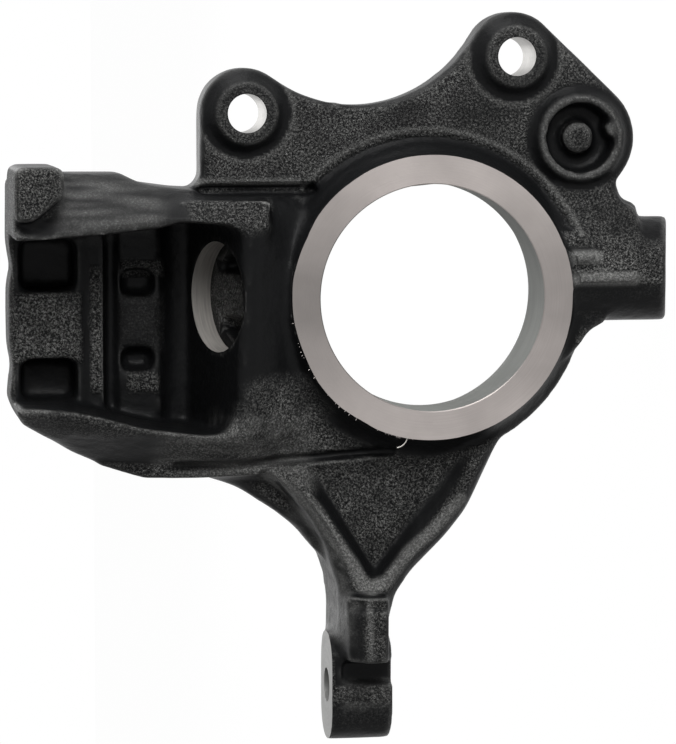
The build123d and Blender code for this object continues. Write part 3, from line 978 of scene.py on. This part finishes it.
# %% Painted edge highlights
UPPER_CREST = [(-64.5, 57.6), (-76.4, 42.5), (-87.6, 35.3), (-98, 27.7), (-105.2, 24.1), (-106, 21)]
LOWER_CREST = [(-74.3, -12.4), (-85.4, -2.1), (-93.3, 6.9), (-103.8, 15.1), (-106, 21)]
HIGHLIGHT_LINES = (
    (UPPER_CREST, 3.4, 1.0),
    (LOWER_CREST, 3.2, 0.9),
    ([(41.8, 84), (41.8, 47)], 1.7, 0.9),  # the plate's edge along the gutter
    ([(14.2, -53), (14.2, -61)], 3.4, 1.0),  # the lower boss's short ridge
    ([(6.2, -53), (6.2, -75)], 3.4, 1.0),  # the lower boss's long ridge
    ([(-110, 23.4), (-132, 22.6)], 1.6, 0.6),  # the front block's crease
)
HIGHLIGHT_RINGS = (
    (EARS[0], 17.0, 18.0, 0.3),
    (EARS[1], 17.0, 18.0, 0.3),
    (EARS[0], 10.4, 11.0, 0.2),
    (EARS[1], 10.4, 11.0, 0.2),
    (CUP_AT, 14.3, 14.6, 0.6),
    (CUP_AT, 5.2, 5.6, 0.3),
)
# These boxes paint the sheen of lit walls as lighter streaks, on the side that faces one way.
PAINTED_SHEEN_PLACES = (
    ((25, -20, 102), (60, 30, 132), 0.3, 8, FORWARD),  # the seat's fore wall
    ((-66, -20, 46), (-46, 14, 96), 0.5, 8, FORWARD),  # the skirt
    ((-124, 4, 26), (-76, 34, 48), 0.5, 4, UPWARD),  # the arm's upper wall
    ((-150, -10, 8), (-142, 60, 30), 0.35, 3, FORWARD),  # the eye's front
    ((-10, 12, 64), (7, 36, 80), 0.7, 1, FORWARD),  # the bar behind the spigot hole
)
HIGHLIGHT_BULGE, BULGE_SHARE = (0.03, 0.18), 0.75
CREST_SHARE, HIGHLIGHT_FADE = 0.3, 0.6
BORDER_FORE, BORDER_TOP = 22 * MM, 46 * MM
BORDER_RING, BORDER_SHARE = (60, 60.8, 0.9), 0.55
STREAK_LEVEL, STREAK_LENGTHS = 0.6, (3, 3, 16)
TURNED_TO = (0.1, 0.6)
highlight_gaps = [(line_gap(line), width * MM, share) for line, width, share in HIGHLIGHT_LINES]


def edge_highlight_amount(place, normal, stand_out):
    """How strong the painted highlight is at a place, from 0 to 1."""
    amount = BULGE_SHARE * soft_step(*HIGHLIGHT_BULGE, stand_out)
    if normal.y < FACES_FRONT:
        for gap, width, share in highlight_gaps:
            distance = gap(place)
            if distance < width:
                near = 1 - soft_step(CREST_SHARE * width, width, distance)
                amount = max(amount, share * near)
        for centre, inner, outer, share in HIGHLIGHT_RINGS:
            amount = max(amount, share * ring_share(place, centre, inner, outer, HIGHLIGHT_FADE))
        # The line where the plate's grain begins is a painted highlight.
        if place.x > BORDER_FORE and place.z < BORDER_TOP:
            amount = max(amount, BORDER_SHARE * ring_share(place, FLARE, *BORDER_RING))
    # Streaks drawn out along Z make the painted sheen on the lit walls uneven.
    drawn_out = Vector([place[axis] / STREAK_LENGTHS[axis] for axis in range(3)])
    streak = STREAK_LEVEL + noise.noise(drawn_out / MM)
    for low, high, share, fade, facing in PAINTED_SHEEN_PLACES:
        turned = soft_step(*TURNED_TO, normal.dot(facing))
        if turned:
            inside = box_share(place, low, high, fade)
            amount = max(amount, streak * share * turned * inside)
    return amount


on_crest = edge_highlight_amount(Vector(in_mm(-76.4, 0, 42.5)), FORWARD, 0)
print("rubbed on a crest:", round(on_crest, 2))

# %% [markdown]
# The lathe left burrs round part of the hub face's edge and one long curl of swarf. Each burr is
# a tiny cone that leans outwards, placed by seeded chance so that every run gives the same ones.
# The curl is a small disc spun along an arc: its closed ends and its even thickness come from the
# operator.

# %% Burrs and swarf
BURR_SEED, BURRS, BURR_SIDES = 4, 22, 6
BURR_ARC = (186, 262)
BURR_LENGTHS, BURR_RADII, BURR_TIP_R = (0.2, 0.75), (0.1, 0.24), 0.04 * MM
BURR_INSET, BURR_DEPTH, BURR_LEAN = 0.15 * MM, 0.25 * MM, 0.15 * MM
CURL_FOOT = Vector(in_mm(-49.8, 0.1, 9.4))
CURL_R, CURL_ARC, CURL_STEPS = 4.2 * MM, 85, 12
SWARF_R, SWARF_SIDES = 0.22 * MM, 8


def add_burrs(bm):
    """Burrs on the edge of the hub face, and one curl of swarf."""
    chance = random.Random(BURR_SEED)
    made = []
    for _ in range(BURRS):
        turn = radians(chance.uniform(*BURR_ARC))
        out = Vector((sin(turn), 0, -cos(turn)))
        foot = out * (RING_R - BURR_INSET) + Vector((0, BURR_DEPTH, 0))
        tip = foot + out * chance.uniform(*BURR_LENGTHS) * MM - Vector((0, BURR_LEAN, 0))
        burr_r = chance.uniform(*BURR_RADII) * MM
        made += add_rod(bm, foot, tip, burr_r, BURR_TIP_R, segments=BURR_SIDES)
    first_curl = len(bm.verts)
    disc = {"cap_ends": True, "segments": SWARF_SIDES, "radius": SWARF_R}
    ring = bmesh.ops.create_circle(bm, **disc)["verts"]
    for axis in ("X", "Z"):
        quarter_turn = Matrix.Rotation(pi / 2, 3, axis)
        bmesh.ops.rotate(bm, verts=ring, cent=(0, 0, 0), matrix=quarter_turn)
    bmesh.ops.translate(bm, verts=ring, vec=CURL_FOOT)
    curl = bmesh.ops.spin(
        bm,
        geom=list({face for vert in ring for face in vert.link_faces}),
        cent=CURL_FOOT + Vector((0, 0, CURL_R)),
        axis=(0, 1, 0),
        angle=radians(CURL_ARC),
        steps=CURL_STEPS,
    )
    bm.verts.ensure_lookup_table()
    print("curl ends in", len(curl["geom_last"]), "parts")
    swarf = list({face for vert in bm.verts[first_curl:] for face in vert.link_faces})
    bmesh.ops.recalc_face_normals(bm, faces=swarf)
    # The curl takes the spigot hole's finish, whose lighter iron is a painted highlight.
    for face in swarf:
        face.material_index = SPIGOT_METAL
    for face in {face for vert in made for face in vert.link_faces}:
        face.material_index = HUB_METAL


print("burrs planned:", BURRS)

# %% [markdown]
# Shading. A casting is smooth all over, but a machined edge is crisp, so faces are shaded smooth
# and only the edges of the cuts are marked sharp. The sand and the painted highlights become point
# attributes that the paint reads. Last, every point is held inside the CAD model's box, because the
# burrs may not make the part larger.

# %% Shade and mark the skin
SHARP_ANGLE = radians(32)


def bulge(vert):
    """How far a point stands out from its neighbours, as a share of the distance to them."""
    others = [edge.other_vert(vert).co for edge in vert.link_edges]
    middle = sum(others, Vector()) / len(others)
    spacing = sum((other - vert.co).length for other in others) / len(others)
    return (vert.co - middle).dot(vert.normal) / spacing if spacing else 0.0


def finish_skin(piece):
    """Marks cut edges sharp, keeps the skin in the CAD box and writes the two attributes."""
    bm = bmesh.new()
    bm.from_mesh(piece.data)
    add_burrs(bm)
    bm.normal_update()
    for face in bm.faces:
        face.smooth = True
    for edge in bm.edges:
        if len(edge.link_faces) == 2:
            cut_side = any(face.material_index != PAINT for face in edge.link_faces)
            edge.smooth = not (cut_side and edge.calc_face_angle() > SHARP_ANGLE)
    sand = bm.verts.layers.float.new("sand")
    # The edge attribute carries the painted highlights.
    edge_highlight = bm.verts.layers.float.new("edge")
    bulges = {vert: bulge(vert) for vert in bm.verts}
    for vert in bm.verts:
        near = [bulges[edge.other_vert(vert)] for edge in vert.link_edges]
        even = (bulges[vert] + sum(near)) / (1 + len(near))
        painted = all(face.material_index == PAINT for face in vert.link_faces)
        vert[sand] = sand_amount(vert.co, vert.normal)
        vert[edge_highlight] = edge_highlight_amount(vert.co, vert.normal, even) if painted else 0
        for axis in range(3):
            vert.co[axis] = min(max(vert.co[axis], cad_box[0][axis]), cad_box[1][axis])
    bm.to_mesh(piece.data)
    bm.free()
    print("triangles:", sum(len(face.vertices) - 2 for face in piece.data.polygons))


finish_skin(casting)
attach(casting, "root")
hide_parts(NODE)

# %% [markdown]
# The stage. The photograph shows the part on plain white. The world and the pale floor, which
# lies just below the part, are white where the camera and reflections see them. Where they only
# light the part they are dimmer, so that the white picture does not wash out the black paint.

# %% Floor and world
FLOOR_SIZE, FLOOR_DROP = 2.5, 3 * MM
PALE, WHITE = (0.85, 0.85, 0.85, 1), (1, 1, 1, 1)
FLOOR_GLOW, GLOW_SHARE = 1.03, 0.95
WORLD_DIM, WORLD_WHITE = 0.15, 1.0


def seen_directly(tree):
    """1 where the camera, a reflection or glass looks, and 0 where the surface only gives light."""
    path = tree.nodes.new("ShaderNodeLightPath")
    seen = math_node(tree, "MAXIMUM", path.outputs["Is Camera Ray"], path.outputs["Is Glossy Ray"])
    return math_node(tree, "MAXIMUM", seen, path.outputs["Is Transmission Ray"])


def build_floor():
    """A pale floor that keeps its shadow."""
    bm = bmesh.new()
    bmesh.ops.create_grid(bm, x_segments=1, y_segments=1, size=FLOOR_SIZE)
    bmesh.ops.translate(bm, verts=bm.verts, vec=(0, 0, cad_box[0].z - FLOOR_DROP))
    floor = add_object("floor", bm)
    material = bpy.data.materials.new("pale_floor")
    material.use_nodes = True
    tree = material.node_tree
    tree.nodes.clear()
    seen = seen_directly(tree)
    matt = node(tree, "ShaderNodeBsdfDiffuse", Color=PALE)
    glow = node(tree, "ShaderNodeEmission", Color=WHITE, Strength=FLOOR_GLOW)
    share = math_node(tree, "MULTIPLY", seen, GLOW_SHARE)
    mixed = node(tree, "ShaderNodeMixShader", i0=share, i1=matt.outputs[0], i2=glow.outputs[0])
    node(tree, "ShaderNodeOutputMaterial", Surface=mixed.outputs[0])
    floor.data.materials.append(material)


def build_world():
    """A white world that gives only a little light."""
    world = bpy.data.worlds.new("studio")
    bpy.context.scene.world = world
    world.use_nodes = True
    tree = world.node_tree
    tree.nodes.clear()
    strength = ramp(tree, seen_directly(tree), 0.0, 1.0, WORLD_DIM, WORLD_WHITE)
    background = node(tree, "ShaderNodeBackground", Color=WHITE, Strength=strength)
    node(tree, "ShaderNodeOutputWorld", Surface=background.outputs[0])


build_floor()
build_world()
print("stage: floor and world")

# %% [markdown]
# Light. The first soft box stands before the part, on the side that is the top of the photograph,
# and draws the highlights. The second, farther round on that side, grazes the plate so that its
# edges show. The third stands behind the part and reaches the camera's side only at the rims: it
# is for views from the back.

# %% Lights


def add_soft_box(name, place, aim, size, power):
    """An area light at a place, turned to its aim."""
    light = bpy.data.lights.new(name, "AREA")
    light.shape = "RECTANGLE"
    light.size, light.size_y = size
    light.energy = power
    lamp = bpy.data.objects.new(name, light)
    lamp.location = place
    lamp.rotation_euler = (Vector(aim) - Vector(place)).to_track_quat("-Z", "Y").to_euler()
    bpy.context.scene.collection.objects.link(lamp)
    print(name, "gives", power, "W")


CENTRE = (cad_box[0] + cad_box[1]) / 2
add_soft_box("key_box", (0.74, -0.86, 0.06), CENTRE, (0.6, 0.6), 12.8)
add_soft_box("edge_box", (1.08, -0.05, 0.20), CENTRE, (1.1, 1.0), 11.5)
add_soft_box("back_box", (0.2, 1.0, 0.7), CENTRE, (1.2, 1.2), 6.0)

# %% [markdown]
# The camera. In the photograph the part lies on its side, so the picture's left is the part's
# top. The camera model works in the photograph's own axes, right, up and towards the viewer, then
# turns them into the part's axes. Its two angles and its distance were fitted to the bore, whose
# both ends show.

# %% Camera
PHOTO_HEIGHT = 744
SENSOR_HEIGHT = 24
PIXEL = 0.36 * MM
DISTANCE = 3300
YAW, PITCH = radians(9.35), radians(5.3)
MIDDLE = Vector((338, 372))
HUB_PIXEL = Vector((433.3, 298.1))


def to_part(photo):
    """Photo right, up and towards the viewer become the part's -Z, +X and -Y."""
    return Vector((photo.y, -photo.z, -photo.x))


def build_camera():
    """The camera that stands where the photograph's stood."""
    back = Vector((-sin(YAW) * cos(PITCH), sin(PITCH), cos(YAW) * cos(PITCH)))
    right = Vector((cos(YAW), 0, sin(YAW)))
    up = back.cross(right)
    offset = HUB_PIXEL - MIDDLE
    place = -(offset.x * right - offset.y * up - DISTANCE * back) * PIXEL
    data = bpy.data.cameras.new("camera")
    data.sensor_fit = "VERTICAL"
    data.sensor_height = SENSOR_HEIGHT
    data.lens = data.sensor_height * DISTANCE / PHOTO_HEIGHT
    camera = bpy.data.objects.new("camera", data)
    axes = Matrix((to_part(right), to_part(up), to_part(back))).transposed().to_4x4()
    camera.matrix_world = Matrix.Translation(to_part(place)) @ axes
    bpy.context.scene.collection.objects.link(camera)
    bpy.context.scene.camera = camera
    print("camera at", [round(value, 3) for value in camera.location])


build_camera()
bpy.context.scene.view_settings.view_transform = "Standard"
